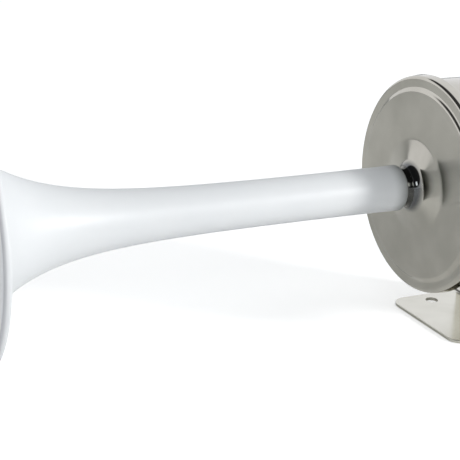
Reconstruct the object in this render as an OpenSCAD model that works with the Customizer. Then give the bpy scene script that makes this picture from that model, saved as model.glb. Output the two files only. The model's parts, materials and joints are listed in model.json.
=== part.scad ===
// Electric trumpet horn on a bent sheet-metal foot.
// Frame: +Z up, the bell faces -Y. The origin is on the underside of the foot, midway between its two
// screw holes. Most pieces are turned about the horn's axis. Their places are given as "behind": the distance
// along +Y from the flat outer ring of the front disc, so the trumpet lies at negative values and the drum
// at positive ones.

/* [Place of the horn on its foot] */
// Height of the horn's axis above the underside of the foot
axis_h = 70; // [60:0.5:85]
// Distance from the screw holes forward to the ring of the front disc
face_ahead = 29.2; // [26:0.1:34]

/* [Trumpet] */
// Distance from the ring of the disc to the front of the bell's lip
trumpet_reach = 214.6; // [180:0.1:260]
// Outer radius of the bell's lip
bell_r = 55.7; // [46:0.1:60]
// Outer radius of the straight part of the tube
tube_r = 10.05; // [9.6:0.05:12]
// Extra radius at the root, where the tube is thickened round its socket
root_swell = 0.4; // [0:0.05:1]
// Length over which the bell opens gently
flare_length = 26.5; // [20:0.5:32]
// Length over which the last of the flare turns outwards
lip_flare_length = 2.2; // [1.5:0.1:4]
// Share of the opening that the gentle flare makes
gentle_share = 0.59; // [0.5:0.01:0.7]
// Wall of the bell and tube
trumpet_wall = 2; // [1.4:0.1:2.4]
// Radius of the rounded lip's section
lip_bead_r = 1.6; // [1.3:0.1:2]
// Distance from the ring of the disc to the end of the white tube
root_gap = 11.5; // [11:0.1:13]
// Rounding of the end of the white tube
root_round = 1.3; // [0.5:0.1:1.5]
// Depth of the socket that screws onto the stem
socket_depth = 18; // [14:0.5:20]

/* [Front disc and throat] */
// Radius of the disc at its front edge
disc_r = 50; // [48:0.1:56]
// Extra radius of the rim at its rear edge
rim_swell = 0.4; // [0:0.1:0.6]
// Depth of the rim from the ring to its rolled rear edge
rim_depth = 6.3; // [6:0.1:7]
// Sheet that the disc is pressed from
disc_sheet = 1; // [0.8:0.1:1]
// Rounding of the disc's outer edge
rim_round = 1.8; // [1.5:0.1:2]
// Radius where the outer ring ends and the step starts
step_outer_r = 45.6; // [45:0.1:46.5]
// Radius where the raised face starts
step_inner_r = 42.4; // [41:0.1:43]
// Height of the raised face over the ring
step_h = 1.2; // [0.8:0.1:1.6]
// Extra height that the raised face gains towards the boss
crown_h = 0.8; // [0.4:0.1:1.2]
// Radius of the boss where it meets the raised face
boss_r = 22; // [18:0.5:26]
// Slope of the boss in degrees
boss_slope = 14; // [8:1:20]
// Outer radius of the neck drawn out of the disc
neck_r = 8.8; // [8.4:0.1:9]
// Radius of the curve between neck and boss
neck_fillet = 4.5; // [3:0.5:6]
// Radius of the soft edge where the boss meets the raised face
boss_blend = 9; // [3:0.5:14]
// Bore of the stem that carries the sound
stem_bore_r = 6; // [5:0.1:6.4]

/* [Drum and motor case] */
// Outer radius of the polished drum
drum_r = 48; // [46:0.1:48.2]
// Distance from the ring to the back of the drum
drum_back = 48.5; // [46:0.5:60]
// Rounding of the drum's back edge
drum_round = 5; // [3:0.5:7]
// Sheet that the drum is drawn from
drum_sheet = 0.8; // [0.6:0.1:1]
// Outer radius of the motor case inside the drum
case_r = 44; // [43.5:0.1:45]
// Sheet that the case is drawn from
case_sheet = 1; // [0.8:0.1:1]
// Rounding of the case's back edge
case_round = 4; // [3:0.5:5]
// Room between the back of the case and the back of the drum
back_room = 3.2; // [2.4:0.1:5]

/* [Diaphragm and armature] */
// Spring-steel sheet of the diaphragm
diaphragm_sheet = 0.4; // [0.3:0.05:0.5]
// Thickness of the front gasket
front_gasket_t = 1.5; // [1.2:0.1:1.8]
// Radius of the armature plate
armature_r = 20; // [19.8:0.1:21]
// Thickness of the armature plate
armature_t = 4.5; // [3:0.5:5]
// Air gap between armature and core at rest
air_gap = 0.8; // [0.7:0.1:1.2]
// Radius of the stud through the diaphragm
centre_stud_r = 3; // [2:0.5:3]

/* [Electromagnet] */
// Radius of the core
core_r = 7; // [6:0.1:8]
// Radius of the core's threaded tail, which holds the bracket
tail_r = 4; // [3:0.5:4]
// Outer radius of the winding
winding_r = 14.6; // [12:0.1:15]
// Wall of the bobbin
bobbin_wall = 1.1; // [0.8:0.1:1.5]
// Thickness of the yoke strap
yoke_t = 3; // [2:0.5:3]
// Width of the yoke strap
yoke_w = 22; // [16:1:22]

/* [Contact breaker] */
// Height of the breaker's arms above the axis
breaker_z = 28.5; // [27:0.5:29]
// Width of the breaker's arms
arm_w = 9; // [8:0.5:9]
// Thickness of the fixed arm
fixed_arm_t = 1; // [0.8:0.1:1.2]
// Thickness of the moving contact's leaf spring
leaf_t = 0.4; // [0.3:0.05:0.5]
// Gap between the leaf's finger and the armature at rest
finger_gap = 0.4; // [0.35:0.05:0.5]
// Gap drawn between the two contacts at rest
contact_gap = 0.2; // [0.18:0.01:0.4]
// Height of each contact over its arm
contact_h = 0.8; // [0.6:0.1:0.9]
// Radius of the contacts
contact_r = 1.75; // [1.2:0.05:2]
// Sideways place of the clamp's edge, where both arms bend
pivot_x = -18; // [-18.5:0.5:-17]
// Radius of the adjusting screw
screw_r = 2.5; // [2:0.1:2.6]

/* [Terminals] */
// Sideways place of the terminal block
terminal_x = 34; // [33.8:0.1:34.2]
// Distance between the two blades
blade_pitch = 12; // [10:0.5:13]
// Width of a blade
blade_w = 6.3; // [4.8:0.1:6.3]
// Thickness of a blade
blade_t = 0.8; // [0.5:0.1:1]

/* [Foot bracket] */
// Width of the bracket
foot_w = 57; // [50:0.5:58]
// Sheet that the bracket is bent from
foot_sheet = 1.5; // [1.2:0.1:2]
// Distance from the front edge of the foot to the screw holes
hole_from_front = 19.5; // [16:0.5:22]
// Distance from a screw hole to the side edge
hole_from_side = 8; // [7:0.5:12]
// Radius of the screw holes
hole_r = 3; // [2:0.1:3.5]
// Rounding of the foot's front corners
foot_corner = 7.4; // [4:0.1:9]
// Inside radius of the bend
bend_r = 2.5; // [1.5:0.5:4]
// Height of the upright over the horn's axis
upright_over = 18; // [14:0.5:20]
// Rounding of the upright's top corners
upright_corner = 12; // [6:0.5:16]

/* [Hidden] */

// Facets of a full turn, and points along the long curves
round_fn = 96;
flare_points = 44;
bend_points = 6;
// Clearances: sliding over a thread, a loose fit and a running fit
thread_clear = 0.05;
loose_clear = 0.1;
run_clear = 0.05;
// Chamfer of turned edges, and how far a hole's cutter runs past a face
edge = 0.5;
past = 1;

// Stack of the clamped rim, as distances behind the ring
gasket_front_y = disc_sheet;
diaphragm_y = gasket_front_y + front_gasket_t;
gasket_rear_y = diaphragm_y + diaphragm_sheet;
lip_y = rim_depth - disc_sheet;
case_flange_back = lip_y - thread_clear;
case_front = case_flange_back - case_sheet;
rear_gasket_t = case_front - gasket_rear_y;
rim_r = disc_r + rim_swell;
lip_round = disc_sheet + 0.2;
flange_r = disc_r - disc_sheet + loose_clear;
lip_inner_r = drum_r + 0.15;
gasket_outer_r = disc_r - rim_round - loose_clear;
gasket_inner_r = case_r + 0.5;
diaphragm_r = disc_r - disc_sheet - 0.4;

// Backs of the two shells
drum_back_in = drum_back - drum_sheet;
case_back = drum_back_in - back_room;
case_back_in = case_back - case_sheet;

// Moving stack on the diaphragm
washer_t = 0.8;
front_washer_y = diaphragm_y - washer_t;
nut_t = 2.6;
front_nut_y = front_washer_y - nut_t;
rear_washer_t = 1;
hub_y = gasket_rear_y + rear_washer_t;
hub_t = 2.1;
hub_r = 8;
armature_y = hub_y + hub_t;
armature_back = armature_y + armature_t;

// Electromagnet
core_front = armature_back + air_gap;
yoke_plate_y = case_back_in - yoke_t;
bobbin_front = core_front + 1.7;
bobbin_back = yoke_plate_y - loose_clear;
flange_t = 1.2;
bobbin_r = winding_r + 0.9;
bobbin_in_r = core_r + loose_clear;
yoke_in_x = bobbin_r + 1;
yoke_out_x = yoke_in_x + yoke_t;

// Breaker stack from the leaf forwards and backwards
leaf_y = armature_back + finger_gap;
leaf_back = leaf_y + leaf_t;
middle_insulator_t = 2 * contact_h + contact_gap;
fixed_arm_back = leaf_y - middle_insulator_t;
fixed_arm_y = fixed_arm_back - fixed_arm_t;
front_insulator_t = 1;
clamp_t = 0.8;
front_insulator_y = fixed_arm_y - front_insulator_t;
clamp_y = front_insulator_y - clamp_t;
rear_insulator_t = 1.2;
bracket_y = leaf_back + rear_insulator_t;
bracket_t = 2;
bracket_back = bracket_y + bracket_t;
root_len = 8;
root_x = pivot_x - root_len;
root_mid_x = pivot_x - root_len / 2;
arm_low = breaker_z - arm_w / 2;
arm_high = breaker_z + arm_w / 2;
stack_screw_r = 1;
stack_screw_dz = 2.3;
bush_wall = 0.5;
stack_zs = [breaker_z - stack_screw_dz, breaker_z + stack_screw_dz];
stack_hole_r = stack_screw_r + thread_clear;
bush_r = stack_hole_r + bush_wall;
bush_hole_r = bush_r + thread_clear;
contact_x = 5;
screw_x = 0;
arm_beyond_contact = 1.25;
fixed_arm_end = contact_x + contact_r + arm_beyond_contact;
contact_shank_r = contact_r / 2;
finger_x = 8.5;
finger_w = 4.5;
finger_low = 12;
tip_hole_r = screw_r + 0.7;
tag_w = 2.5;
tag_low = arm_low - 4.5;
arm_tag_x = root_x + 1;
leaf_tag_x = root_x + 4.5;

// Adjuster
tip_gap = 0.1;
tip_r = 2.2;
tip_t = 1.5;
tip_y = fixed_arm_back + tip_gap;
spigot_r = 1.2;
spigot_end = tip_y + tip_t + 3;
spigot_hole_end = spigot_end + 0.5;
screw_front = tip_y + tip_t + loose_clear;
boss_collar_t = 2;
boss_collar_r = 6.5;
boss_body_r = 4.5;
boss_stick_out = 0.5;
boss_end = drum_back + boss_stick_out;
lock_nut_t = 4;
lock_nut_flats = 8;
screw_stick_out = 3.5;
screw_end = boss_end + lock_nut_t + screw_stick_out;
slot_w = 1;
slot_depth = 1.5;
grommet_lip = 1;

// Terminals
block_w = 7;
block_h = 20;
block_stick_out = 2.5;
block_front = case_back_in - block_stick_out;
block_collar = 1;
block_collar_t = 1.5;
block_end = drum_back + block_stick_out;
blade_tail = 3;
blade_z = blade_pitch / 2;
blade_len = 9;
blade_front = block_front - blade_tail;
blade_end = block_end + blade_len;
blade_hole_r = 0.9;
blade_hole_in = 4;

// Fasteners at the back
seal_t = 1;
seal_r = 14;
upright_y = drum_back + seal_t;
upright_back = upright_y + foot_sheet;
tail_washer_t = 1.5;
spring_washer_t = 2.1;
tail_nut_t = 6.5;
spring_washer_y = upright_back + tail_washer_t;
tail_nut_y = spring_washer_y + spring_washer_t;
tail_stick_out = 2.4;
tail_edge = 0.8;
tail_end = tail_nut_y + tail_nut_t + tail_stick_out;
tail_hole_r = tail_r + loose_clear;

// Places that more than one module uses
rivet_y = bracket_back + 5;
rivet_ys = [rivet_y, rivet_y + 6];
condenser_r = 4.5;
condenser_edge = 0.8;
clip_t = 0.8;
condenser_x = yoke_out_x + clip_t + condenser_r;
condenser_y = rivet_y - 1;
condenser_len = 20;
clip_w = 8;
clip_y = condenser_y + (condenser_len - clip_w) / 2;
clip_rivet_z = 8;

// Points of an arc round c, from angle a0 to a1
function arc(c, r, a0, a1, n = bend_points) =
    [for (i = [0:n]) c + r * [cos(a0 + (a1 - a0) * i / n), sin(a0 + (a1 - a0) * i / n)]];

function unit(v) = v / norm(v);
function left_of(v) = [-v[1], v[0]];

// The path moved sideways by t, with mitred corners; positive is to the left of its travel
function beside(p, t) =
    let (n = len(p) - 1)
    [for (i = [0:n])
        let (a = left_of(unit(p[min(i + 1, n)] - p[min(i, n - 1)])),
            b = left_of(unit(p[max(i, 1)] - p[max(i - 1, 0)])))
        p[i] + (a + b) * t / (1 + a * b)];

function reversed(p) = [for (i = [len(p) - 1:-1:0]) p[i]];

// A sheet of thickness t whose one face follows the path
function sheet(p, t) = concat(p, reversed(beside(p, t)));

// Turns a profile of (radius, behind) about the horn's axis
module turned() {
    translate([0, -face_ahead, axis_h]) rotate([-90, 0, 0]) rotate_extrude($fn = round_fn) children();
}

// Moves a piece from (sideways, behind, above the axis) into the part's frame
module from_ring() {
    translate([0, -face_ahead, axis_h]) children();
}

// A rod or hole along Y, at x and z from the axis, between two distances behind the ring
module rod(x, z, y0, y1, r) {
    from_ring() translate([x, y0, z]) rotate([-90, 0, 0]) cylinder(h = y1 - y0, r = r, $fn = round_fn);
}

// A rod or hole along X, between x0 and x1
module cross_rod(x0, x1, y, z, r) {
    from_ring() translate([x0, y, z]) rotate([0, 90, 0]) cylinder(h = x1 - x0, r = r, $fn = 48);
}

// A hexagon nut along Y with a round hole and chamfered corners
nut_chamfer_slope = 1.6;
module hex_nut(x, z, y0, y1, flats, bore_r) {
    corner_r = flats / sqrt(3);
    chamfer = (corner_r - flats / 2) * 0.6;
    face_r = corner_r - chamfer * nut_chamfer_slope;
    difference() {
        intersection() {
            from_ring() translate([x, y0, z]) rotate([-90, 0, 0])
                cylinder(h = y1 - y0, r = corner_r, $fn = 6);
            from_ring() translate([x, y0, z]) rotate([-90, 0, 0]) rotate_extrude($fn = round_fn)
                polygon([[0, 0], [face_r, 0], [corner_r, chamfer], [corner_r, y1 - y0 - chamfer],
                    [face_r, y1 - y0], [0, y1 - y0]]);
        }
        rod(x, z, y0 - past, y1 + past, bore_r);
    }
}

// A block between two corners given as (sideways, behind, above the axis)
module block(low, high) {
    from_ring() translate(low) cube(high - low);
}

// Trumpet

swell_length = 20;
crowding = 2.2;
bell_end = trumpet_reach - lip_bead_r - 1;
bell_end_r = bell_r - lip_bead_r;
bore_start = root_gap + socket_depth + 1;
socket_wall = 1.1;

// The tube is never thinner round its socket than this wall, however thick the neck is
straight_r = max(tube_r, neck_r + loose_clear + socket_wall);

// Outer radius of the trumpet at a distance s in front of the ring
function trumpet_r(s) =
    straight_r + root_swell * exp(-(s - root_gap) / swell_length)
    + (bell_end_r - straight_r) * (gentle_share * exp((s - bell_end) / flare_length)
        + (1 - gentle_share) * exp((s - bell_end) / lip_flare_length));

// Distance in front of the ring of the outline's point number i, closer together towards the lip
function trumpet_s(i) =
    bell_end - (bell_end - root_gap - root_round) * pow(1 - i / flare_points, crowding);

outer_wall = [for (i = [0:flare_points]) [trumpet_r(trumpet_s(i)), -trumpet_s(i)]];
inner_wall = beside(outer_wall, -trumpet_wall);

// The wall is thicker at the socket, where the bore starts little wider than the stem's, and thins out
// over a taper
bore_step = 0.4;
socket_bore_r = stem_bore_r + bore_step;
taper_length = 70;
function extra_wall(s) =
    (straight_r - trumpet_wall - socket_bore_r) * max(0, 1 - (s - bore_start) / taper_length);
bore_wall = [for (p = inner_wall) if (-p[1] > bore_start + 1) [p[0] - extra_wall(-p[1]), p[1]]];

module trumpet() color([0.95, 0.96, 0.97]) {
    turned() polygon(concat(
        [[neck_r + loose_clear, -bore_start], [neck_r + loose_clear, -root_gap]],
        arc([trumpet_r(root_gap) - root_round, -root_gap - root_round], root_round, 90, 0),
        outer_wall,
        reversed(bore_wall),
        [[socket_bore_r, -bore_start]]));
    turned() translate([bell_end_r, -trumpet_reach + lip_bead_r]) circle(r = lip_bead_r, $fn = 48);
}

stem_step_y = -root_gap - 1.5;
stem_back = -4;
stem_front = -bore_start + 1;

// Tube with an outside thread that carries the trumpet; its thinner rear end sits in the neck of the disc
module throat_stem() color([0.75, 0.75, 0.74]) turned()
    polygon([[stem_bore_r, stem_back], [stem_bore_r, stem_front], [neck_r - edge, stem_front],
        [neck_r, stem_front + edge], [neck_r, stem_step_y], [neck_r - disc_sheet, stem_step_y],
        [neck_r - disc_sheet, stem_back]]);

// Front disc

face_mid_y = -step_h - crown_h;
fillet_r_end = neck_r + neck_fillet - neck_fillet * sin(boss_slope);
fillet_y_end = face_mid_y - (boss_r - fillet_r_end) * tan(boss_slope);
fillet_c = [neck_r + neck_fillet, fillet_y_end - neck_fillet * cos(boss_slope)];
boss_blend_half = boss_blend * tan(boss_slope / 2);
face_start_r = boss_r + boss_blend_half;

// The raised face rises towards the boss along a parabola
function face_y(r) = -step_h - crown_h * (1 - pow((r - face_start_r) / (step_inner_r - face_start_r), 2));

// The step is half a cosine wave
function step_y(r) = -step_h / 2 * (1 + cos(180 * (r - step_inner_r) / (step_outer_r - step_inner_r)));

cover_face = concat(
    [[neck_r, stem_step_y]],
    arc(fillet_c, neck_fillet, 180, 90 + boss_slope, 8),
    arc([face_start_r, face_mid_y - boss_blend], boss_blend, 90 + boss_slope, 90),
    [for (i = [1:10]) let (r = face_start_r + (step_inner_r - face_start_r) * i / 10) [r, face_y(r)]],
    [for (i = [1:8]) let (r = step_inner_r + (step_outer_r - step_inner_r) * i / 8) [r, step_y(r)]],
    arc([disc_r - rim_round, rim_round], rim_round, -90, 0),
    arc([rim_r - lip_round, rim_depth - lip_round], lip_round, 0, 90),
    [[lip_inner_r, rim_depth]]);

module front_cover() color([0.72, 0.71, 0.69]) turned() polygon(sheet(cover_face, disc_sheet));

// Flat ring round the horn's axis
module flat_ring(r0, r1, y, t) turned() translate([r0, y]) square([r1 - r0, t]);

module front_gasket() color([0.15, 0.15, 0.15])
    flat_ring(gasket_inner_r, gasket_outer_r, gasket_front_y, front_gasket_t);

module rear_gasket() color([0.15, 0.15, 0.15])
    flat_ring(gasket_inner_r, gasket_outer_r, gasket_rear_y, rear_gasket_t);

// Flat in the middle and at the rim, with two shallow rings of corrugation between

wave_h = 0.5;
wave_start_r = 26;
wave_width = 6;
wave_count = 2;
steps_per_wave = 12;
function wave_y(i) = diaphragm_y + wave_h / 2 * (1 - cos(360 * i / steps_per_wave));
diaphragm_face = concat(
    [[centre_stud_r + thread_clear, diaphragm_y]],
    [for (i = [0:wave_count * steps_per_wave]) [wave_start_r + wave_width * i / steps_per_wave, wave_y(i)]],
    [[diaphragm_r, diaphragm_y]]);

module diaphragm() color([0.55, 0.57, 0.6]) turned() polygon(sheet(diaphragm_face, diaphragm_sheet));

// Shells

flange_bend = 0.5;
case_face = concat(
    [[flange_r, case_flange_back]],
    reversed(arc([case_r + flange_bend, case_flange_back + flange_bend], flange_bend, 180, 270)),
    arc([case_r - case_round, case_back - case_round], case_round, 0, 90),
    [[tail_hole_r, case_back]]);

module motor_case() color([0.2, 0.2, 0.21]) difference() {
    turned() polygon(sheet(case_face, case_sheet));
    rod(screw_x, breaker_z, case_back_in - past, case_back + past, boss_body_r + loose_clear);
    terminal_slot(case_back_in - past, case_back + past);
}

drum_front = case_flange_back + thread_clear;
drum_face = concat(
    [[drum_r, drum_front]],
    arc([drum_r - drum_round, drum_back - drum_round], drum_round, 0, 90, 10),
    [[tail_hole_r, drum_back]]);

module drum() color([0.75, 0.75, 0.74]) difference() {
    turned() polygon(sheet(drum_face, drum_sheet));
    rod(screw_x, breaker_z, drum_back_in - past, drum_back + past, boss_body_r + 2 * grommet_lip);
    terminal_slot(drum_back_in - past, drum_back + past);
}

// Opening for the terminal block, between two distances behind the ring
module terminal_slot(y0, y1) {
    block([terminal_x - block_w / 2 - loose_clear, y0, -block_h / 2 - loose_clear],
        [terminal_x + block_w / 2 + loose_clear, y1, block_h / 2 + loose_clear]);
}

// Moving stack on the diaphragm

stud_stick_out = 0.8;
stud_front = front_nut_y - stud_stick_out;
stud_hole_end = armature_back - 1;
stud_back = stud_hole_end - loose_clear;
rear_washer_r = 9;
diaphragm_nut_flats = 10;

module armature() color([0.45, 0.45, 0.47]) turned()
    polygon([[centre_stud_r + thread_clear, hub_y], [hub_r, hub_y], [hub_r, armature_y],
        [armature_r - edge, armature_y], [armature_r, armature_y + edge], [armature_r, armature_back],
        [0, armature_back], [0, stud_hole_end], [centre_stud_r + thread_clear, stud_hole_end]]);

module centre_stud() color([0.7, 0.7, 0.68]) turned()
    polygon([[0, stud_front], [centre_stud_r - edge, stud_front], [centre_stud_r, stud_front + edge],
        [centre_stud_r, stud_back], [0, stud_back]]);

module diaphragm_washers() color([0.7, 0.7, 0.68]) {
    flat_ring(centre_stud_r + loose_clear, hub_r, front_washer_y, washer_t);
    flat_ring(centre_stud_r + loose_clear, rear_washer_r, gasket_rear_y, rear_washer_t);
}

module diaphragm_nut() color([0.7, 0.7, 0.68])
    hex_nut(0, 0, front_nut_y, front_washer_y, diaphragm_nut_flats, centre_stud_r + thread_clear);

// Electromagnet

module magnet_core() color([0.5, 0.5, 0.52]) turned()
    polygon([[0, core_front], [core_r - edge, core_front], [core_r, core_front + edge],
        [core_r, yoke_plate_y], [tail_r, yoke_plate_y], [tail_r, tail_end - tail_edge],
        [tail_r - tail_edge, tail_end], [0, tail_end]]);

module yoke() color([0.4, 0.4, 0.42]) difference() {
    union() {
        block([-yoke_out_x, yoke_plate_y, -yoke_w / 2], [yoke_out_x, case_back_in, yoke_w / 2]);
        for (side = [-1, 1])
            block([side * (yoke_in_x + yoke_t / 2) - yoke_t / 2, core_front, -yoke_w / 2],
                [side * (yoke_in_x + yoke_t / 2) + yoke_t / 2, case_back_in, yoke_w / 2]);
    }
    rod(0, 0, yoke_plate_y - past, case_back_in + past, tail_hole_r);
    for (y = rivet_ys) cross_rod(-yoke_out_x - past, -yoke_in_x + past, y, 0, rivet_hole_r);
    cross_rod(yoke_in_x - past, yoke_out_x + past, clip_y + clip_w / 2, clip_rivet_z, rivet_hole_r);
}

module bobbin() color([0.1, 0.1, 0.1]) turned()
    polygon([[bobbin_in_r, bobbin_front], [bobbin_r, bobbin_front],
        [bobbin_r, bobbin_front + flange_t], [bobbin_in_r + bobbin_wall, bobbin_front + flange_t],
        [bobbin_in_r + bobbin_wall, bobbin_back - flange_t], [bobbin_r, bobbin_back - flange_t],
        [bobbin_r, bobbin_back], [bobbin_in_r, bobbin_back]]);

module coil_winding() color([0.72, 0.36, 0.16]) turned()
    translate([bobbin_in_r + bobbin_wall, bobbin_front + flange_t])
        square([winding_r - bobbin_in_r - bobbin_wall, bobbin_back - bobbin_front - 2 * flange_t]);

// Contact breaker

rivet_r = 1.5;
rivet_head_r = 2.6;
rivet_head_t = 1.2;
rivet_hole_r = rivet_r + thread_clear;
clip_rivet_head_r = 2.3;
bracket_low = -9;
tab_end = rivet_ys[1] + 4;

// Plate that carries the stack, with a tab bent back along the yoke
module breaker_bracket() color([0.6, 0.6, 0.58]) difference() {
    union() {
        block([root_x, bracket_y, arm_low], [pivot_x, bracket_back, arm_high]);
        block([root_x, bracket_y, bracket_low], [-yoke_out_x, bracket_back, arm_low]);
        block([-yoke_out_x - bracket_t, bracket_y, bracket_low], [-yoke_out_x, tab_end, -bracket_low]);
    }
    for (z = stack_zs) rod(root_mid_x, z, bracket_y - past, bracket_back + past, stack_hole_r);
    for (y = rivet_ys) cross_rod(-yoke_out_x - bracket_t - past, -yoke_out_x + past, y, 0, rivet_hole_r);
}

module breaker_rivets() color([0.8, 0.7, 0.4]) for (y = rivet_ys) {
    cross_rod(-yoke_out_x - bracket_t, -yoke_in_x, y, 0, rivet_r);
    cross_rod(-yoke_out_x - bracket_t - rivet_head_t, -yoke_out_x - bracket_t, y, 0, rivet_head_r);
}

// One plate of the clamped root, pierced for two screws or their bushes
module root_plate(y0, y1, hole) difference() {
    block([root_x, y0, arm_low], [pivot_x, y1, arm_high]);
    for (z = stack_zs) rod(root_mid_x, z, y0 - past, y1 + past, hole);
}

module clamp_plate() color([0.6, 0.6, 0.58]) root_plate(clamp_y, front_insulator_y, stack_hole_r);

module breaker_insulators() color([0.55, 0.3, 0.15]) {
    root_plate(front_insulator_y, fixed_arm_y, bush_hole_r);
    root_plate(fixed_arm_back, leaf_y, bush_hole_r);
    root_plate(leaf_back, bracket_y, bush_hole_r);
}

module breaker_bushes() color([0.85, 0.82, 0.7]) for (z = stack_zs) difference() {
    rod(root_mid_x, z, front_insulator_y, bracket_y, bush_r);
    rod(root_mid_x, z, front_insulator_y - past, bracket_y + past, stack_hole_r);
}

stack_head_r = 1.9;
stack_head_t = 1.3;
stack_nut_t = 1.6;
stack_nut_flats = 4;
stack_screw_end = bracket_back + stack_nut_t + 0.8;
stack_slot_w = 0.5;
stack_slot_depth = 0.6;

module breaker_screws() color([0.8, 0.72, 0.45]) for (z = stack_zs) difference() {
    union() {
        rod(root_mid_x, z, clamp_y - stack_head_t, clamp_y, stack_head_r);
        rod(root_mid_x, z, clamp_y, stack_screw_end, stack_screw_r);
    }
    block([root_mid_x - stack_head_r - past, clamp_y - stack_head_t - past, z - stack_slot_w / 2],
        [root_mid_x + stack_head_r + past, clamp_y - stack_head_t + stack_slot_depth, z + stack_slot_w / 2]);
}

module breaker_nuts() color([0.8, 0.72, 0.45]) for (z = stack_zs)
    hex_nut(root_mid_x, z, bracket_back, bracket_back + stack_nut_t, stack_nut_flats, stack_hole_r);

// An arm from the clamped root to x1, pierced for the bushes, with a tongue at tag_x for a soldered lead
module arm(y0, y1, x1, tag_x) difference() {
    union() {
        block([root_x, y0, arm_low], [x1, y1, arm_high]);
        block([tag_x, y0, tag_low], [tag_x + tag_w, y1, arm_low + 1]);
    }
    for (z = stack_zs) rod(root_mid_x, z, y0 - past, y1 + past, bush_hole_r);
}

module fixed_arm() color([0.78, 0.62, 0.35]) difference() {
    arm(fixed_arm_y, fixed_arm_back, fixed_arm_end, arm_tag_x);
    rod(contact_x, breaker_z, fixed_arm_y - past, fixed_arm_back + past, contact_shank_r + thread_clear);
}

module fixed_contact() color([0.85, 0.85, 0.82]) {
    rod(contact_x, breaker_z, fixed_arm_y, fixed_arm_back, contact_shank_r);
    rod(contact_x, breaker_z, fixed_arm_back, fixed_arm_back + contact_h, contact_r);
}

// Leaf spring with a hole for the adjusting screw and a finger that reaches down behind the armature
module contact_leaf() color([0.8, 0.68, 0.42]) difference() {
    union() {
        arm(leaf_y, leaf_back, finger_x + finger_w, leaf_tag_x);
        block([finger_x, leaf_y, finger_low], [finger_x + finger_w, leaf_back, arm_low + 1]);
    }
    rod(screw_x, breaker_z, leaf_y - past, leaf_back + past, tip_hole_r);
    rod(contact_x, breaker_z, leaf_y - past, leaf_back + past, contact_shank_r + thread_clear);
}

module moving_contact() color([0.85, 0.85, 0.82]) {
    rod(contact_x, breaker_z, leaf_y, leaf_back, contact_shank_r);
    rod(contact_x, breaker_z, leaf_y - contact_h, leaf_y, contact_r);
}

// Adjuster

module adjuster_tip() color([0.55, 0.3, 0.15]) {
    rod(screw_x, breaker_z, tip_y, tip_y + tip_t, tip_r);
    rod(screw_x, breaker_z, tip_y + tip_t, spigot_end, spigot_r);
}

module adjusting_screw() color([0.75, 0.75, 0.74]) difference() {
    rod(screw_x, breaker_z, screw_front, screw_end, screw_r);
    rod(screw_x, breaker_z, screw_front - past, spigot_hole_end, spigot_r + run_clear);
    block([screw_x - 2 * screw_r, screw_end - slot_depth, breaker_z - slot_w / 2],
        [screw_x + 2 * screw_r, screw_end + past, breaker_z + slot_w / 2]);
}

module adjuster_boss() color([0.7, 0.7, 0.68]) difference() {
    union() {
        rod(screw_x, breaker_z, case_back_in - boss_collar_t, case_back_in, boss_collar_r);
        rod(screw_x, breaker_z, case_back_in - boss_collar_t, boss_end, boss_body_r);
    }
    rod(screw_x, breaker_z, case_back_in - boss_collar_t - past, boss_end + past, screw_r + run_clear);
}

// Rubber ring with a groove that holds it in the drum's hole
module adjuster_grommet() color([0.12, 0.12, 0.12])
    from_ring() translate([screw_x, 0, breaker_z]) rotate([-90, 0, 0])
    rotate_extrude($fn = round_fn) polygon([
        [boss_body_r + thread_clear, case_back + loose_clear],
        [boss_body_r + 3 * grommet_lip, case_back + loose_clear],
        [boss_body_r + 3 * grommet_lip, drum_back_in - thread_clear],
        [boss_body_r + 2 * grommet_lip - thread_clear, drum_back_in - thread_clear],
        [boss_body_r + 2 * grommet_lip - thread_clear, drum_back],
        [boss_body_r + thread_clear, drum_back]]);

module lock_nut() color([0.75, 0.75, 0.74])
    hex_nut(screw_x, breaker_z, boss_end, boss_end + lock_nut_t, lock_nut_flats, screw_r + run_clear);

// Spark suppressor

module condenser() color([0.65, 0.66, 0.68])
    from_ring() translate([condenser_x, condenser_y, 0]) rotate([-90, 0, 0]) rotate_extrude($fn = round_fn)
        polygon([[0, 0], [condenser_r - condenser_edge, 0], [condenser_r, condenser_edge],
            [condenser_r, condenser_len - condenser_edge], [condenser_r - condenser_edge, condenser_len],
            [0, condenser_len]]);

module condenser_clip() color([0.6, 0.6, 0.58]) difference() {
    union() {
        rod(condenser_x, 0, clip_y, clip_y + clip_w, condenser_r + clip_t);
        block([yoke_out_x, clip_y, 0],
            [yoke_out_x + clip_t, clip_y + clip_w, clip_rivet_z + clip_rivet_head_r]);
    }
    rod(condenser_x, 0, clip_y - past, clip_y + clip_w + past, condenser_r);
    cross_rod(yoke_out_x - past, yoke_out_x + clip_t + past, clip_y + clip_w / 2, clip_rivet_z, rivet_hole_r);
}

module clip_rivet() color([0.8, 0.7, 0.4]) {
    head_x = yoke_out_x + clip_t;
    cross_rod(yoke_in_x, head_x, clip_y + clip_w / 2, clip_rivet_z, rivet_r);
    cross_rod(head_x, head_x + rivet_head_t, clip_y + clip_w / 2, clip_rivet_z, clip_rivet_head_r);
}

// Terminals

module terminal_block() color([0.1, 0.1, 0.1]) difference() {
    union() {
        block([terminal_x - block_w / 2, block_front, -block_h / 2],
            [terminal_x + block_w / 2, block_end, block_h / 2]);
        block([terminal_x - block_w / 2 - block_collar, drum_back, -block_h / 2 - block_collar],
            [terminal_x + block_w / 2 + block_collar, drum_back + block_collar_t,
                block_h / 2 + block_collar]);
    }
    for (side = [-1, 1])
        block([terminal_x - blade_t / 2, block_front - past, side * blade_z - blade_w / 2],
            [terminal_x + blade_t / 2, block_end + past, side * blade_z + blade_w / 2]);
}

// Outline of a blade with its tapered end, as (behind, above its middle)
blade_taper = 1.2;
blade_outline = [[blade_front, -blade_w / 2], [blade_end - blade_taper, -blade_w / 2],
    [blade_end, blade_taper - blade_w / 2], [blade_end, blade_w / 2 - blade_taper],
    [blade_end - blade_taper, blade_w / 2], [blade_front, blade_w / 2]];

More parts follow.
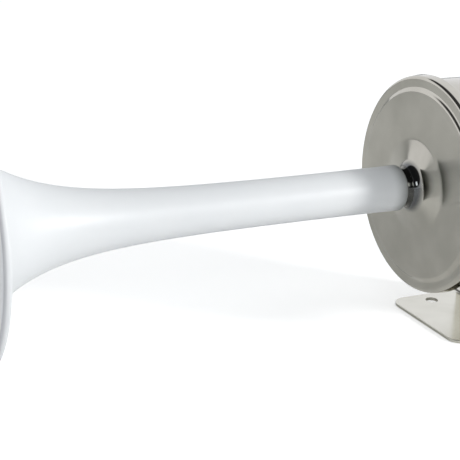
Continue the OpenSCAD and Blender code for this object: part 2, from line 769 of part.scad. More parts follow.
module terminal_blades() color([0.85, 0.72, 0.35]) for (side = [-1, 1]) difference() {
    from_ring() translate([terminal_x - blade_t / 2, 0, side * blade_z]) rotate([90, 0, 90])
        linear_extrude(blade_t) polygon(blade_outline);
    cross_rod(terminal_x - blade_t, terminal_x + blade_t, blade_end - blade_hole_in, side * blade_z,
        blade_hole_r);
}

// Leads inside the case, each along a smooth curve through points given as
// (sideways, behind, above the axis)

lead_r = 0.6;
coil_r = winding_r + loose_clear;
upper_blade = [terminal_x, blade_front - thread_clear, blade_z];
lower_blade = [terminal_x, blade_front - thread_clear, -blade_z];
coil_mid_y = (bobbin_front + bobbin_back) / 2;
leaf_solder = [leaf_tag_x + tag_w + thread_clear, (leaf_y + leaf_back) / 2, tag_low + 1];
arm_solder = [arm_tag_x + tag_w / 2, (fixed_arm_y + fixed_arm_back) / 2, tag_low - thread_clear];

// Point on the outside of the winding at an angle from the horizontal
function on_coil(angle, y) = [coil_r * cos(angle), y, coil_r * sin(angle)];

coil_lead_route = [upper_blade, upper_blade - [0, 3, 0], [31, blade_front - 8, 11],
    [26, blade_front - 11, 15.5], [20, blade_front - 12, 17], [13, coil_mid_y, 15.5],
    on_coil(50, coil_mid_y)];
leaf_lead_route = [on_coil(127, coil_mid_y - 6), [-10.5, coil_mid_y - 7, 15.5], [-12, 15.5, 18.5],
    leaf_solder + [3, 1, -0.5], leaf_solder];
arm_lead_route = [arm_solder, arm_solder - [0, 0, 5], [-24, 9, 0], [-24.5, 10, -8], [-25, 15, -14],
    [-20, 24, -22], [-6, blade_front - 7, -28], [10, blade_front - 6, -27], [24, blade_front - 7, -18],
    [32, blade_front - 6, -9], lower_blade - [0, 3, 0], lower_blade];

// A point of the smooth curve through a route, a share t past the route's point i
function curve_point(p, i, t) =
    let (a = p[max(i - 1, 0)], b = p[i], c = p[i + 1], d = p[min(i + 2, len(p) - 1)])
    0.5 * (2 * b + (c - a) * t + (2 * a - 5 * b + 4 * c - d) * t * t + (3 * b - a - 3 * c + d) * t * t * t);

steps_per_stretch = 5;
function curve(p) = concat(
    [for (i = [0:len(p) - 2]) for (k = [0:steps_per_stretch - 1]) curve_point(p, i, k / steps_per_stretch)],
    [p[len(p) - 1]]);

// Direction of travel at a point of a curve, and the ring's first spoke there, carried along without twisting
function travel(c, i) = unit(c[min(i + 1, len(c) - 1)] - c[max(i - 1, 0)]);
function square_to(v, t) = unit(v - t * (v * t));
function spokes(c) =
    [for (i = 0, s = square_to([0.3, 0.5, 0.8], travel(c, 0)); i < len(c);
        i = i + 1, s = i < len(c) ? square_to(s, travel(c, i)) : s) s];

// Round lead with eight sides
module lead(route, r, sides = 8) {
    c = curve(route);
    first = spokes(c);
    n = len(c);
    points = [for (i = [0:n - 1]) for (k = [0:sides - 1])
        let (a = 360 * k / sides)
        c[i] + r * (cos(a) * first[i] + sin(a) * cross(travel(c, i), first[i]))];
    walls = [for (i = [0:n - 2]) for (k = [0:sides - 1])
        let (a = i * sides + k, b = i * sides + (k + 1) % sides)
        each [[a, a + sides, b], [b, a + sides, b + sides]]];
    ends = concat(
        [for (k = [1:sides - 2]) [0, k, k + 1]],
        [for (k = [1:sides - 2]) [(n - 1) * sides, (n - 1) * sides + k + 1, (n - 1) * sides + k]]);
    from_ring() polyhedron(points, concat(walls, ends));
}

module coil_lead() color([0.7, 0.1, 0.1]) lead(coil_lead_route, lead_r);

module leaf_lead() color([0.15, 0.15, 0.5]) lead(leaf_lead_route, lead_r);

module arm_lead() color([0.1, 0.1, 0.1]) lead(arm_lead_route, lead_r);

// Foot and the fasteners at the back

spacer_r = 9;
tail_washer_r = 8;
spring_washer_r = 6.5;
spring_washer_split = 16;
tail_nut_flats = 13;

module back_spacer() color([0.7, 0.7, 0.68]) flat_ring(tail_hole_r, spacer_r, case_back, back_room);

module drum_seal() color([0.12, 0.12, 0.12]) flat_ring(tail_hole_r, seal_r, drum_back, seal_t);

foot_front = -hole_from_front;
upright_front_y = upright_y - face_ahead;
upright_back_y = upright_back - face_ahead;
bend_y = upright_front_y - bend_r;
bend_z = foot_sheet + bend_r;
upright_top = axis_h + upright_over;

// Side view of the bent sheet, in (Y, Z)
module foot_section() {
    translate([foot_front, 0]) square([bend_y - foot_front, foot_sheet]);
    translate([upright_front_y, bend_z]) square([foot_sheet, upright_top - bend_z]);
    intersection() {
        translate([bend_y, bend_z]) difference() {
            circle(r = bend_r + foot_sheet, $fn = round_fn);
            circle(r = bend_r, $fn = round_fn);
        }
        translate([bend_y, 0]) square([bend_r + foot_sheet, bend_z]);
    }
}

// What a rounded corner takes away: a square less its inscribed quarter circle
module corner_waste(r) difference() {
    square([r + past, r + past]);
    circle(r = r, $fn = round_fn);
}

module foot_bracket() color([0.78, 0.77, 0.74]) difference() {
    translate([-foot_w / 2, 0, 0]) rotate([90, 0, 90]) linear_extrude(foot_w) foot_section();
    for (side = [0, 1]) mirror([side, 0, 0]) {
        translate([foot_w / 2 - foot_corner, foot_front + foot_corner, -past]) rotate([0, 0, -90])
            linear_extrude(foot_sheet + 2 * past) corner_waste(foot_corner);
        translate([foot_w / 2 - upright_corner, upright_back_y + past, upright_top - upright_corner])
            rotate([90, 0, 0]) linear_extrude(foot_sheet + 2 * past) corner_waste(upright_corner);
        translate([foot_w / 2 - hole_from_side, 0, -past])
            cylinder(h = foot_sheet + 2 * past, r = hole_r, $fn = round_fn);
    }
    rod(0, 0, upright_y - past, upright_back + past, tail_hole_r);
}

module tail_washer() color([0.75, 0.75, 0.74])
    flat_ring(tail_hole_r, tail_washer_r, upright_back, tail_washer_t);

// Split ring, drawn flat as the nut leaves it
module spring_washer() color([0.7, 0.7, 0.68])
    from_ring() rotate([-90, 0, 0]) rotate([0, 0, spring_washer_split / 2])
        rotate_extrude(angle = 360 - spring_washer_split, $fn = round_fn)
            translate([tail_hole_r, spring_washer_y])
                square([spring_washer_r - tail_hole_r, spring_washer_t]);

module tail_nut() color([0.75, 0.75, 0.74])
    hex_nut(0, 0, tail_nut_y, tail_nut_y + tail_nut_t, tail_nut_flats, tail_r + thread_clear);

trumpet();
throat_stem();
front_cover();
front_gasket();
diaphragm();
rear_gasket();
motor_case();
drum();
armature();
centre_stud();
diaphragm_washers();
diaphragm_nut();
magnet_core();
yoke();
bobbin();
coil_winding();
breaker_bracket();
breaker_rivets();
clamp_plate();
breaker_insulators();
breaker_bushes();
breaker_screws();
breaker_nuts();
fixed_arm();
fixed_contact();
contact_leaf();
moving_contact();
adjuster_tip();
adjusting_screw();
adjuster_boss();
adjuster_grommet();
lock_nut();
condenser();
condenser_clip();
clip_rivet();
terminal_block();
terminal_blades();
coil_lead();
leaf_lead();
arm_lead();
back_spacer();
drum_seal();
foot_bracket();
tail_washer();
spring_washer();
tail_nut();
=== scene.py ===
"""Electric trumpet horn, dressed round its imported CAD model."""
import json
import math

import bmesh
import bpy
from mathutils import Matrix, Vector

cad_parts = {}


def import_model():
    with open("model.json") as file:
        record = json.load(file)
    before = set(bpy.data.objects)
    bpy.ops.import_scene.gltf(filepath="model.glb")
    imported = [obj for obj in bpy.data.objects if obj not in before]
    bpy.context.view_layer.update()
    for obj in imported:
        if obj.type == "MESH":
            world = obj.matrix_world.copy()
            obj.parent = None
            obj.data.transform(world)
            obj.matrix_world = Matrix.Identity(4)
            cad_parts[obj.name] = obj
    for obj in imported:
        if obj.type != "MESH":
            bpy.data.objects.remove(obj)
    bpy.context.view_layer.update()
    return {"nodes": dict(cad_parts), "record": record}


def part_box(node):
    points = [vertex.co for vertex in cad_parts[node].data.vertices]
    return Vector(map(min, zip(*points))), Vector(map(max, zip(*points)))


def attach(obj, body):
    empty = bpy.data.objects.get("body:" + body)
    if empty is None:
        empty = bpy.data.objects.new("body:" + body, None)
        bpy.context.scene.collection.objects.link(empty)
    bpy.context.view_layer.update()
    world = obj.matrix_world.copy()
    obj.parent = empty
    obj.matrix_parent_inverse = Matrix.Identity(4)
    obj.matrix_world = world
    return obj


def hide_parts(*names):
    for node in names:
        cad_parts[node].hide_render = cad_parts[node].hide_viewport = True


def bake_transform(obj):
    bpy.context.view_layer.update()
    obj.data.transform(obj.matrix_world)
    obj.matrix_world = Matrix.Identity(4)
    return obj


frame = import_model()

MM = 0.001

# Trumpet, in millimetres: distances count forwards from the ring of the front disc
TUBE_R = 10.05
ROOT_SWELL = 0.4
SWELL_LENGTH = 20.0
BELL_R = 55.7
BEAD_R = 1.6
FLARE_LENGTH = 26.5
LIP_FLARE_LENGTH = 2.2
GENTLE_SHARE = 0.59
WALL = 2.0
REACH = 214.6
FLARE_SHORT = 1.0
BELL_END = REACH - BEAD_R - FLARE_SHORT
FLARE_STEPS = 150
ROOT_GAP = 11.5
ROOT_ROUND = 1.3
BORE_START = 30.5
BORE_CLEAR = 1.0
SOCKET_R = 8.9
SOCKET_BORE_R = 6.4
TAPER_LENGTH = 70.0
# Painted shade on the front of the lip: how far back from the mouth it reaches
LIP_SHADE_DEPTH = 1.3
# Painted shade where the trumpet meets the disc: how far forward of the root it reaches, and how far it runs
# back past the root
ROOT_SHADE_LENGTH = 8.0
ROOT_SHADE_OVERLAP = 1.5

# Front disc, in millimetres behind the ring
DISC_R = 50.0
RIM_SWELL = 0.4
RIM_DEPTH = 6.3
RIM_ROUND = 1.8
LIP_EASE = 0.2
LIP_GAP = 0.15
SHEET = 1.0
STEP_OUTER_R = 45.3
STEP_INNER_R = 42.7
STEP_H = 1.2
CROWN_H = 0.8
BOSS_R = 22.0
BOSS_SLOPE = 14.0
BOSS_BLEND = 9.0
NECK_R = 8.8
NECK_FILLET = 4.5
NECK_END = -13.0

# Drum and foot
DRUM_R = 48.0
DRUM_FRONT = 5.3
DRUM_BACK = 48.5
DRUM_ROUND = 5.0
DRUM_SHEET = 0.8
BOSS_HOLE_R = 6.5
FOOT_SHEET = 1.5
FOOT_CORNER = 7.4
UPRIGHT_CORNER = 12.0
BEND_R = 2.5
HOLE_R = 3.0

# Magnet core's tail and what it holds
CORE_R = 7.0
CORE_CHAMFER = 0.5
YOKE_SHEET = 3.0
SHOULDER_STEP = 0.01
TAIL_R = 4.0
TAIL_PITCH = 1.25
TAIL_THREAD = 0.65
TAIL_CHAMFER = 0.8
TAIL_HOLE_R = 4.1
TAIL_NUT_FLATS = 13.0
WASHER_R = 8.0
SPRING_WASHER_R = 6.5
WASHER_SPLIT = 16.0
SEAL_R = 14.0

# Adjusting screw
SCREW_R = 2.5
SCREW_PITCH = 0.8
SCREW_THREAD = 0.42
SCREW_CHAMFER = 0.5
SLOT_W = 1.0
SLOT_DEPTH = 1.5
SLOT_REACH = 4.0
SPIGOT_R = 1.25
SPIGOT_ROOM = 0.5
LOCK_NUT_FLATS = 8.0

# Threads and nuts
THREAD_SLOPE = 2.6
THREAD_LAND = 0.15
ROWS_PER_TURN = 12
NUT_THREAD = 0.3
NUT_MOUTH = 0.5
NUT_CHAMFER = 0.6
CHAMFER_SLOPE = 1.6
CORNER_TRIM = 0.12
CORNER_BLEND = 0.2
CHAMFER_BLEND = 0.15
NUT_ROWS = 40
NUT_STEPS = 144

# Terminals
TERMINAL_HOLE_W = 7.2
TERMINAL_HOLE_H = 20.2
BLADE_W = 6.3
BLADE_TAPER = 1.2
BLADE_HOLE_R = 0.9
BLADE_HOLE_BACK = 4.0
COLLAR = 1.0
COLLAR_DEPTH = 1.5

# Diaphragm and contact arms
DIAPHRAGM_SHEET = 0.4
WAVE_H = 0.5
WAVE_START_R = 26.0
WAVE_WIDTH = 6.0
WAVES = 2
WAVE_STEPS = 12
CLAMP_R = 41.0
STILL_R = 20.0
SECTORS = 12
SECTOR_STEPS = 16
SHANK_R = 0.875
TIP_ROOM = 0.7
ARM_TAG = 1.0
LEAF_TAG = 4.5
TAG_W = 2.5
FINGER_W = 4.5
ARM_BEND = 4.0
BEND_STEPS = 4

# Room round a shaft, and how far a cutter goes past what it cuts
FIT = 0.05
PAST = 1.0

# Edges: those sharper than an angle in degrees stay sharp, and the eased ones have a small round
SHARP = 32.0
COVER_SHARP = 60.0
BEVEL_ANGLE = 40.0
FOOT_EASE = 0.25
BLOCK_EASE = 0.35
COLLAR_EASE = 0.3
BLADE_EASE = 0.12

# Steps round a full turn: the front disc, large pieces, small pieces
FINEST = 360
FINE = 256
SMALL = 96

# Materials: lines per metre on turned metal, their share in its sheen, and the wire's pitch in millimetres
LINE_SCALE = 5200.0
LINE_SHARE = 0.6
WIRE_PITCH = 0.6

# Floor, in metres, and how brightly it shows
FLOOR_HALF = 6.0
FLOOR_DROP = 0.00005
FADE_START = 0.6
FADE_END = 2.4
NEAR_GLOW = 0.55
MIRRORED_GLOW = 0.08

# Surroundings: the slanted direction that tells low from high, and where brightness fades in
LEAN = (0.25, 0.0, 1.0)
LOW_EDGE = (0.34, 0.44)
REAR_EDGE = (0.06, 0.4)
WHITE = (1.0, 1.0, 1.0)

AXIS_Z = sum(corner.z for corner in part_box("tail_washer")) / 2
RING_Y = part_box("front_gasket")[0].y - SHEET * MM


def behind(node):
    """A node's front and back, in millimetres behind the ring."""
    low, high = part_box(node)
    return (low.y - RING_Y) / MM, (high.y - RING_Y) / MM


def across(node):
    """A node's width and its centre from the horn's axis, in millimetres: (width, x, z)."""
    low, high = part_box(node)
    return (high.x - low.x) / MM, (low.x + high.x) / 2 / MM, ((low.z + high.z) / 2 - AXIS_Z) / MM


def place(x, y, z):
    """A point given in millimetres from the horn's axis and behind the ring."""
    return Vector((x * MM, RING_Y + y * MM, AXIS_Z + z * MM))


def standing(x, y, z):
    """A point given in millimetres in the frame itself, whose origin is on the floor."""
    return Vector((x, y, z)) * MM


adjuster_x, adjuster_z = across("adjuster_boss")[1:]
block_x = across("terminal_block")[1]
slot_of = {part["node"]: part["material_slot"] for part in frame["record"]["subparts"]}
mounts = {mount["name"]: mount for mount in frame["record"]["mounts"]}


# Outlines

def even(a, b, count):
    """Evenly spaced values from a to b, both included."""
    return [a + (b - a) * i / count for i in range(count + 1)]


def arc(centre, r, a0, a1, steps):
    """Points of an arc from angle a0 to a1, in degrees."""
    angles = [math.radians(a) for a in even(a0, a1, steps)]
    return [(centre[0] + r * math.cos(a), centre[1] + r * math.sin(a)) for a in angles]


def circle(centre, r, steps):
    """Points of a full circle."""
    return arc(centre, r, 0, 360 - 360 / steps, steps - 1)


def beside(path, t):
    """The path moved sideways by t, to the left of its travel."""
    out = []
    for i, p in enumerate(path):
        before = Vector(p) - Vector(path[i - 1]) if i else None
        after = Vector(path[i + 1]) - Vector(p) if i + 1 < len(path) else None
        a = (before or after).normalized()
        b = (after or before).normalized()
        left = Vector((-a.y - b.y, a.x + b.x)) / (1 + a.dot(b))
        out.append((p[0] + left.x * t, p[1] + left.y * t))
    return out


def sheet(path, t):
    """Closed outline of a sheet whose one face follows the path."""
    return path + beside(path, t)[::-1]


def ring(r0, r1, y0, y1, edge=0.2):
    """Section of a flat ring with chamfered edges."""
    front = [(r0, y0 + edge), (r0 + edge, y0), (r1 - edge, y0), (r1, y0 + edge)]
    back = [(r1, y1 - edge), (r1 - edge, y1), (r0 + edge, y1), (r0, y1 - edge)]
    return front + back


# Making pieces

def piece(name, bm, sharp=SHARP):
    """A smooth-shaded object from a bmesh, with edges sharper than an angle in degrees kept sharp."""
    bmesh.ops.remove_doubles(bm, verts=bm.verts, dist=1e-7)
    bmesh.ops.recalc_face_normals(bm, faces=bm.faces)
    mesh = bpy.data.meshes.new(name)
    bm.to_mesh(mesh)
    bm.free()
    mesh.polygons.foreach_set("use_smooth", [True] * len(mesh.polygons))
    mesh.set_sharp_from_angle(angle=math.radians(sharp))
    obj = bpy.data.objects.new(name, mesh)
    bpy.context.scene.collection.objects.link(obj)
    return obj


def bridge(bm, p, q):
    """Faces between two closed rows of vertices."""
    n = len(p)
    for k in range(n):
        bm.faces.new((p[k], p[(k + 1) % n], q[(k + 1) % n], q[k]))


def turned(name, outline, steps=FINE, start=0.0, sweep=360.0, sharp=SHARP):
    """Turns a closed outline of (radius, behind) about the horn's axis."""
    bm = bmesh.new()
    whole = sweep >= 360.0
    rows = []
    for i in range(steps + (not whole)):
        a = math.radians(start + sweep * i / steps)
        rows.append([bm.verts.new(place(r * math.cos(a), y, r * math.sin(a))) for r, y in outline])
    for i in range(steps):
        bridge(bm, rows[i], rows[(i + 1) % len(rows)])
    if not whole:
        bm.faces.new(rows[0])
        bm.faces.new(rows[-1][::-1])
    return piece(name, bm, sharp)


def polar(name, x, z, ys, radius, bore=None, steps=SMALL):
    """A solid about a line along Y whose radius is a function of angle and y; bore is the same for a hole."""
    bm = bmesh.new()
    angles = [2 * math.pi * i / steps for i in range(steps)]

    def wall(radius_at):
        rows = []
        for y in ys:
            radii = [radius_at(a, y) for a in angles]
            rows.append([bm.verts.new(place(x + r * math.cos(a), y, z + r * math.sin(a)))
                         for r, a in zip(radii, angles)])
        for p, q in zip(rows, rows[1:]):
            bridge(bm, p, q)
        return rows

    outer = wall(radius)
    if bore:
        inner = wall(bore)
        bridge(bm, outer[0], inner[0])
        bridge(bm, outer[-1], inner[-1])
    else:
        for row, y in ((outer[0], ys[0]), (outer[-1], ys[-1])):
            middle = bm.verts.new(place(x, y, z))
            for k in range(steps):
                bm.faces.new((row[k], row[(k + 1) % steps], middle))
    return piece(name, bm)


def prism(name, outline, frame_of, thick0, thick1):
    """A straight prism: the outline's points (u, v) and the two thicknesses go through frame_of(u, v, t)."""
    bm = bmesh.new()
    rows = [[bm.verts.new(frame_of(u, v, t)) for u, v in outline] for t in (thick0, thick1)]
    bridge(bm, rows[0], rows[1])
    bm.faces.new(rows[0])
    bm.faces.new(rows[1])
    return piece(name, bm)


def box_piece(name, low, high):
    """A box between two corners given as (sideways, behind, above the axis)."""
    outline = [(low[0], low[2]), (high[0], low[2]), (high[0], high[2]), (low[0], high[2])]
    return prism(name, outline, lambda u, v, t: place(u, t, v), low[1], high[1])


def round_bar(name, x, z, y0, y1, r):
    """A plain bar along Y."""
    return polar(name, x, z, [y0, y1], lambda a, y: r)


def soft_min(a, b, width):
    """The lesser of a and b, blended over a width."""
    h = max(0.0, min(1.0, 0.5 + 0.5 * (b - a) / width))
    return b + (a - b) * h - width * h * (1 - h)


def thread(r, pitch, depth):
    """Radius of a right-hand thread as a function of angle and y."""
    def at(a, y):
        turn = (y / pitch + a / (2 * math.pi)) % 1.0
        return r - depth * min(1.0, max(0.0, THREAD_SLOPE * abs(turn - 0.5) - THREAD_LAND))
    return at


def nut(name, x, z, y0, y1, flats, bore_r, pitch):
    """A hexagon nut with chamfered corners and a threaded bore."""
    corner_r = flats / math.sqrt(3)
    face_r = corner_r - (corner_r - flats / 2) * NUT_CHAMFER * CHAMFER_SLOPE
    inner = thread(bore_r + NUT_THREAD, pitch, NUT_THREAD)

    def outside(a, y):
        hexagon = flats / 2 / math.cos(a % (math.pi / 3) - math.pi / 6)
        chamfer = face_r + CHAMFER_SLOPE * min(y - y0, y1 - y)
        trimmed = soft_min(hexagon, corner_r - CORNER_TRIM, CORNER_BLEND)
        return soft_min(trimmed, chamfer, CHAMFER_BLEND)

    def bore(a, y):
        mouth = NUT_MOUTH - min(y - y0, y1 - y)
        return max(inner(a, y), bore_r + mouth)

    ys = [y0 + (y1 - y0) * (0.5 - 0.5 * math.cos(a)) for a in even(0.0, math.pi, NUT_ROWS)]
    return polar(name, x, z, ys, outside, bore, NUT_STEPS)


def evaluated(obj):
    """Applies an object's modifiers."""
    mesh = bpy.data.meshes.new_from_object(obj.evaluated_get(bpy.context.evaluated_depsgraph_get()))
    obj.modifiers.clear()
    obj.data = mesh
    return obj


def combined(obj, others, operation):
    """Adds the others to the object or takes them away, and deletes them."""
    for other in others:
        mod = obj.modifiers.new("combined", "BOOLEAN")
        mod.operation = operation
        mod.solver = "EXACT"
        mod.object = other
        evaluated(obj)
        bpy.data.objects.remove(other)
    obj.data.set_sharp_from_angle(angle=math.radians(SHARP))
    return obj


def cut(obj, *cutters):
    """Takes the cutters away from the object."""
    return combined(obj, cutters, "DIFFERENCE")


def joined(obj, *others):
    """Makes the object and the others one solid."""
    return combined(obj, others, "UNION")


def bevelled(obj, width, segments=3):
    """Rounds the object's edges and applies it."""
    mod = obj.modifiers.new("bevel", "BEVEL")
    mod.width = width * MM
    mod.segments = segments
    mod.limit_method = "ANGLE"
    mod.angle_limit = math.radians(BEVEL_ANGLE)
    mod.harden_normals = True
    return evaluated(obj)


# Materials

class Tree:
    """The nodes of a material or a world, with short calls for the ones used here."""

    def __init__(self, owner):
        owner.use_nodes = True
        self.tree = owner.node_tree
        self.tree.nodes.clear()

    def add(self, kind):
        return self.tree.nodes.new(kind)

    def put(self, value, socket):
        """Links a socket to another node's output, or sets it to a number or a colour."""
        if isinstance(value, bpy.types.NodeSocket):
            self.tree.links.new(value, socket)
        elif isinstance(value, tuple):
            socket.default_value = (*value, 1.0)
        else:
            socket.default_value = value

    def math(self, operation, *values):
        """The result of one operation on numbers or sockets."""
        node = self.add("ShaderNodeMath")
        node.operation = operation
        for value, socket in zip(values, node.inputs):
            self.put(value, socket)
        return node.outputs[0]

    def carried(self, value, source, target=(0.0, 1.0), kind="SMOOTHSTEP"):
        """A value carried from its source range to a target range."""
        node = self.add("ShaderNodeMapRange")
        node.interpolation_type = kind
        for name, number in zip(("From Min", "From Max", "To Min", "To Max"), (*source, *target)):
            node.inputs[name].default_value = number
        self.put(value, node.inputs["Value"])
        return node.outputs["Result"]

    def spread(self, value, low, high):
        """A 0 to 1 value spread between two numbers."""
        return self.carried(value, (0.0, 1.0), (low, high), "LINEAR")

    def ramp(self, value, low, high):
        """Smooth step from 0 at low to 1 at high."""
        return self.carried(value, (low, high))


class Nodes(Tree):
    """A material's nodes round one shader. Coordinates are the object's own, in metres."""

    def __init__(self, name):
        self.material = bpy.data.materials.new(name)
        super().__init__(self.material)
        self.shader = self.add("ShaderNodeBsdfPrincipled")
        out = self.add("ShaderNodeOutputMaterial")
        self.put(self.shader.outputs[0], out.inputs["Surface"])
        self.coords = self.add("ShaderNodeTexCoord").outputs["Object"]

    def about_axis(self):
        """Distance from the horn's axis and distance along it, as sockets."""
        parts = self.add("ShaderNodeSeparateXYZ")
        self.put(self.coords, parts.inputs[0])
        up = self.math("SUBTRACT", parts.outputs[2], AXIS_Z)
        sideways_squared = self.math("POWER", parts.outputs[0], 2.0)
        r = self.math("SQRT", self.math("ADD", sideways_squared, self.math("POWER", up, 2.0)))
        return r, parts.outputs[1]

    def scaled(self, scale):
        """The coordinates stretched by a scale along each axis."""
        node = self.add("ShaderNodeMapping")
        node.inputs["Scale"].default_value = scale
        self.put(self.coords, node.inputs["Vector"])
        return node.outputs[0]

    def noise(self, scale, detail=2.0, rough=0.5, vector=None):
        """A 0 to 1 noise over the coordinates, or over another vector."""
        node = self.add("ShaderNodeTexNoise")
        self.put(scale, node.inputs["Scale"])
        self.put(detail, node.inputs["Detail"])
        self.put(rough, node.inputs["Roughness"])
        self.put(vector or self.coords, node.inputs["Vector"])
        return node.outputs["Fac"]

    def turning_lines(self, r, y, line_scale=LINE_SCALE):
        """Fine lines about the horn's axis, as a lathe leaves them."""
        node = self.add("ShaderNodeCombineXYZ")
        self.put(self.math("MULTIPLY", r, line_scale), node.inputs[0])
        self.put(self.math("MULTIPLY", y, line_scale), node.inputs[1])
        return self.noise(1.0, 3.0, 0.7, node.outputs[0])

    def smear(self, lines, haze):
        """Lines and haze together, for the roughness of turned metal."""
        return self.math("ADD", self.math("MULTIPLY", lines, LINE_SHARE),
                         self.math("MULTIPLY", haze, 1 - LINE_SHARE))

    def mix(self, factor, a, b):
        """Colour a where the factor is 0 and b where it is 1."""
        node = self.add("ShaderNodeMix")
        node.data_type = "RGBA"
        # Inputs 6 and 7 and output 2 are the node's colours
        self.put(factor, node.inputs["Factor"])
        self.put(a, node.inputs[6])
        self.put(b, node.inputs[7])
        return node.outputs[2]

    def bump(self, height, strength, distance):
        """Roughens the shader's normal by a height."""
        node = self.add("ShaderNodeBump")
        self.put(strength, node.inputs["Strength"])
        self.put(distance, node.inputs["Distance"])
        self.put(height, node.inputs["Height"])
        self.put(node.outputs[0], self.shader.inputs["Normal"])

    def set(self, **values):
        """Sets or links the shader's inputs; an underscore in a name stands for a space."""
        for name, value in values.items():
            self.put(value, self.shader.inputs[name.replace("_", " ")])


def white_plastic():
    """Glossy white moulding: faint clouds, uneven sheen, orange peel, painted shade at its root next to the
    disc and a painted shade line along the front of the lip.
    """
    n = Nodes("white_plastic")
    _, y = n.about_axis()
    mouth_y = RING_Y - REACH * MM
    root_y = RING_Y - ROOT_GAP * MM
    shade, white = (0.81, 0.825, 0.84), (0.85, 0.86, 0.865)
    painted_root_shade, painted_lip_shade = (0.11, 0.12, 0.11), (0.54, 0.542, 0.565)
    clean = n.mix(n.noise(60.0, 3.0), shade, white)
    # Painted shade: the tube darkens towards its root next to the disc, made uneven by noise
    near_root = n.ramp(y, root_y - ROOT_SHADE_LENGTH * MM, root_y + ROOT_SHADE_OVERLAP * MM)
    patchy = n.spread(n.noise(160.0, 3.0), 0.7, 1.0)
    root_shaded = n.mix(n.math("MULTIPLY", near_root, patchy), clean, painted_root_shade)
    # Painted shade: the foremost part of the lip is painted darker
    at_lip = n.math("SUBTRACT", 1.0, n.ramp(y, mouth_y, mouth_y + LIP_SHADE_DEPTH * MM))
    n.set(Base_Color=n.mix(at_lip, root_shaded, painted_lip_shade), Roughness=n.spread(n.noise(140.0), 0.34, 0.46),
          IOR=1.5, Specular_IOR_Level=0.45)
    n.bump(n.noise(300.0, 1.0), strength=0.02, distance=0.0002)
    return n.material


def spun_steel(name, dark, light, rough, line_scale=LINE_SCALE, strength=0.04):
    """Turned or spun metal with faint lines about the horn's axis."""
    n = Nodes(name)
    lines = n.turning_lines(*n.about_axis(), line_scale)
    haze = n.noise(38.0, 3.0)
    n.set(Base_Color=n.mix(haze, dark, light), Metallic=1.0, Roughness=n.spread(n.smear(lines, haze), *rough))
    n.bump(lines, strength, distance=0.00004)
    return n.material


def pressed_steel():
    """Polished pressing: turning lines, slight waves, hazy patches and a painted dark reflection on the neck.
    """
    n = Nodes("polished_steel")
    r, y = n.about_axis()
    lines = n.turning_lines(r, y)
    haze = n.ramp(n.noise(30.0, 4.0, 0.6), 0.3, 0.7)
    steel, bright_steel = (0.5, 0.481, 0.422), (0.6, 0.577, 0.513)
    # Painted reflection: near the neck the base colour is painted nearly black with streaks, standing in for
    # dark surroundings mirrored there
    neck_reflection_dark, neck_reflection_grey = (0.06, 0.063, 0.066), (0.19, 0.195, 0.195)
    neck_margin, step_margin = 0.6, 1.5
    shine = n.mix(haze, steel, bright_steel)
    streaks = n.noise(1.0, 2.0, vector=n.scaled((2400.0, 120.0, 2400.0)))
    painted_neck_reflection = n.mix(streaks, neck_reflection_dark, neck_reflection_grey)
    off_neck = n.ramp(r, (NECK_R + neck_margin) * MM, (NECK_R + NECK_FILLET - neck_margin) * MM)
    off_boss = n.ramp(r, BOSS_R * 0.6 * MM, BOSS_R * 1.2 * MM)
    on_step = n.ramp(r, (STEP_INNER_R - step_margin) * MM, STEP_INNER_R * MM)
    on_face = n.math("MULTIPLY", off_boss, n.math("SUBTRACT", 1.0, on_step))
    rough = n.math("ADD", n.spread(n.smear(lines, haze), 0.06, 0.13), n.math("MULTIPLY", on_face, 0.09))
    n.set(Base_Color=n.mix(off_neck, painted_neck_reflection, shine), Metallic=1.0, Roughness=rough)
    waves = n.noise(70.0, 1.0)
    n.bump(n.math("ADD", n.math("MULTIPLY", lines, 0.01), waves), strength=0.35, distance=0.0002)
    return n.material


def brushed_steel(name, dark, light, rough):
    """Sheet or bar with fine straight lines from side to side."""
    n = Nodes(name)
    lines = n.noise(1.0, 3.0, 0.65, n.scaled((60.0, 2600.0, 2600.0)))
    haze = n.noise(55.0, 3.0)
    n.set(Base_Color=n.mix(haze, dark, light), Metallic=1.0, Roughness=n.spread(lines, *rough))
    n.bump(lines, strength=0.05, distance=0.00003)
    return n.material


def plated(name, dark, light, rough=(0.22, 0.4)):
    """Plated hardware: a mottled sheen and small pits."""
    n = Nodes(name)
    mottle = n.noise(420.0, 4.0)
    n.set(Base_Color=n.mix(mottle, dark, light), Metallic=1.0,
          Roughness=n.spread(n.noise(900.0, 3.0), *rough))
    n.bump(n.noise(2600.0, 2.0), strength=0.12, distance=0.00005)
    return n.material


def dull(name, dark, light, rough, grain=1800.0, strength=0.2):
    """Moulded plastic, rubber, laminate or paint: a fine grain and uneven sheen."""
    n = Nodes(name)
    n.set(Base_Color=n.mix(n.noise(240.0, 3.0), dark, light), Roughness=n.spread(n.noise(520.0, 3.0), *rough))
    n.bump(n.noise(grain, 2.0), strength, distance=0.00008)
    return n.material


def wound_wire():
    """Enamelled copper wire: turns side by side along the winding, with painted shade in the grooves between
    them.
    """
    n = Nodes("copper_wire")
    _, y = n.about_axis()
    # Painted shade: the colour is dark between the turns and lighter on their crests
    between, crest = (0.25, 0.07, 0.025), (0.72, 0.3, 0.14)
    turns = n.math("ABSOLUTE", n.math("SINE", n.math("MULTIPLY", y, math.pi / (WIRE_PITCH * MM))))
    n.set(Base_Color=n.mix(turns, between, crest), Metallic=0.9, Roughness=0.3, Coat_Weight=0.6)
    n.bump(turns, strength=0.6, distance=0.0002)
    return n.material


